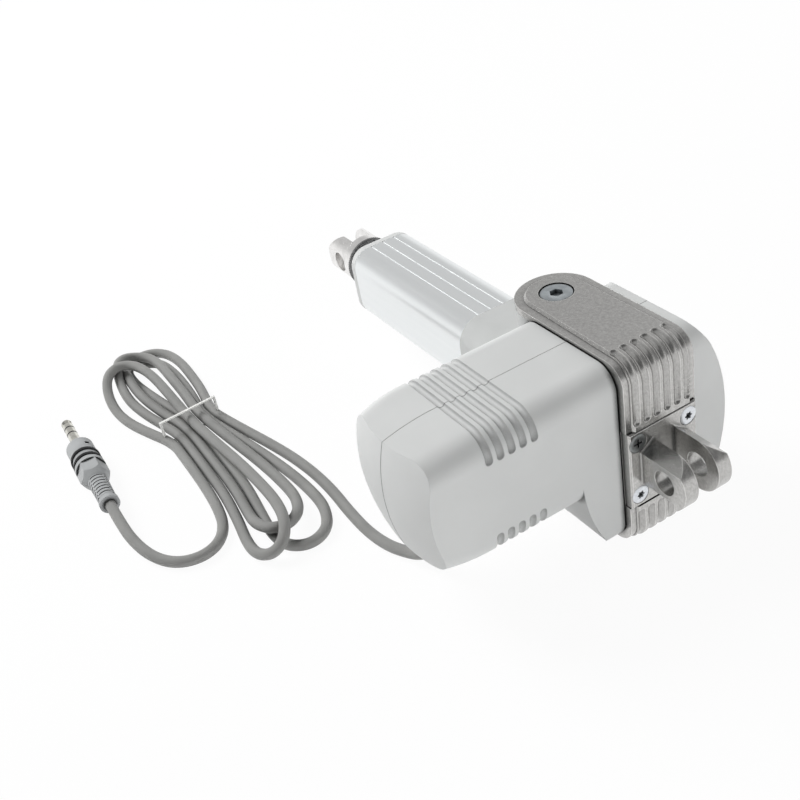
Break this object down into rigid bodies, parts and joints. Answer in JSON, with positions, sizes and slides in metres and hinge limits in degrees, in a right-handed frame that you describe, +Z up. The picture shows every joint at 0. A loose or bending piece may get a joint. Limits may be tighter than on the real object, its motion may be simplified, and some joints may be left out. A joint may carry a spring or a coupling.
{
  "type": "electric linear actuator",
  "caption": "Electric linear actuator with a side motor, worm-driven spindle, telescopic rod, clevis ends and a tied cord with a jack plug.",
  "frame": {"origin": "centre of the rear clevis hole, on the spindle axis, midway between the two ears", "axes": "+X along the spindle towards the rod eye, +Y along the clevis hole towards the motor, +Z up"},
  "size_m": [0.3795, 0.2584, 0.103],
  "materials": {
    "cast_zinc": "die-cast zinc, tumbled, fine speckle",
    "zinc_screws": "bright zinc plate",
    "housing_plastic": "fine moulded grain",
    "painted_casting": "light grey paint on cast aluminium",
    "tube_aluminium": "satin anodised extrusion",
    "soft_rubber": "matt black",
    "bush_plastic": "machined acetal",
    "board": "solder-masked board",
    "switch_plastic": "moulded",
    "bright_steel": "ground",
    "bronze": "machined bronze",
    "rod_aluminium": "ground and polished",
    "eye_steel": "turned and milled",
    "ring_dark": "knurled, blackened",
    "can_steel": "zinc-plated sheet",
    "magnet_ceramic": "ferrite",
    "copper": "segmented copper",
    "brush_carbon": "pressed carbon",
    "cord_grey": "matt cable jacket",
    "tie_white": "plastic-covered wire",
    "plug_grey": "moulded",
    "pin_nickel": "nickel plate"
  },
  "bodies": {
    "housing": {"rear_clevis": "cast_zinc", "yoke_strap": "cast_zinc", "clevis_screws": "zinc_screws", "strap_screws": "zinc_screws", "housing_screws": "zinc_screws", "rear_shell": "housing_plastic", "front_shell": "housing_plastic", "front_cap": "housing_plastic", "motor_end_cap": "housing_plastic", "nose_block": "painted_casting", "outer_tube": "tube_aluminium", "gear_frame": "tube_aluminium", "rod_wiper": "soft_rubber", "plug_seals": "soft_rubber", "rod_guide": "bush_plastic", "bearing_carrier": "bush_plastic", "pin_insulators": "bush_plastic", "limit_strip": "board", "limit_switches": "switch_plastic", "spindle_bearings": "bright_steel", "motor_bearings": "bright_steel", "worm_bushes": "bronze", "motor_can": "can_steel", "motor_front_plate": "can_steel", "motor_magnets": "magnet_ceramic", "motor_brushes": "brush_carbon", "cord_hank": "cord_grey", "cord_lead": "cord_grey", "cord_tail": "cord_grey", "cable_gland": "cord_grey", "plug_boot": "cord_grey", "cord_tie": "tie_white", "plug_grip": "plug_grey", "plug_body": "plug_grey", "plug_pin": "pin_nickel"},
    "rod": {"drive_nut": "bush_plastic", "piston_rod": "rod_aluminium", "rod_lock_ring": "ring_dark", "rod_eye": "eye_steel"},
    "spindle": {"spindle": "bright_steel", "worm_wheel": "bronze"},
    "rotor": {"worm_shaft": "bright_steel", "motor_armature": "can_steel", "commutator": "copper"}
  },
  "joints": [
    {"name": "rod_slide", "type": "slide", "parent": "housing", "child": "rod", "axis": [1, 0, 0], "range_m": [0, 0.12]},
    {"name": "spindle_spin", "type": "hinge", "parent": "housing", "child": "spindle", "pos_m": [0, 0, 0], "axis": [1, 0, 0], "range_deg": [0, 3600.1]},
    {"name": "motor_spin", "type": "hinge", "parent": "housing", "child": "rotor", "pos_m": [0.053, 0, 0.0215], "axis": [0, 1, 0], "range_deg": [0, 54001]}
  ],
  "couplings": [
    {"joint": "spindle_spin", "follows": "rod_slide", "rad_per_m": 523.6},
    {"joint": "motor_spin", "follows": "rod_slide", "rad_per_m": 7854}
  ]
}
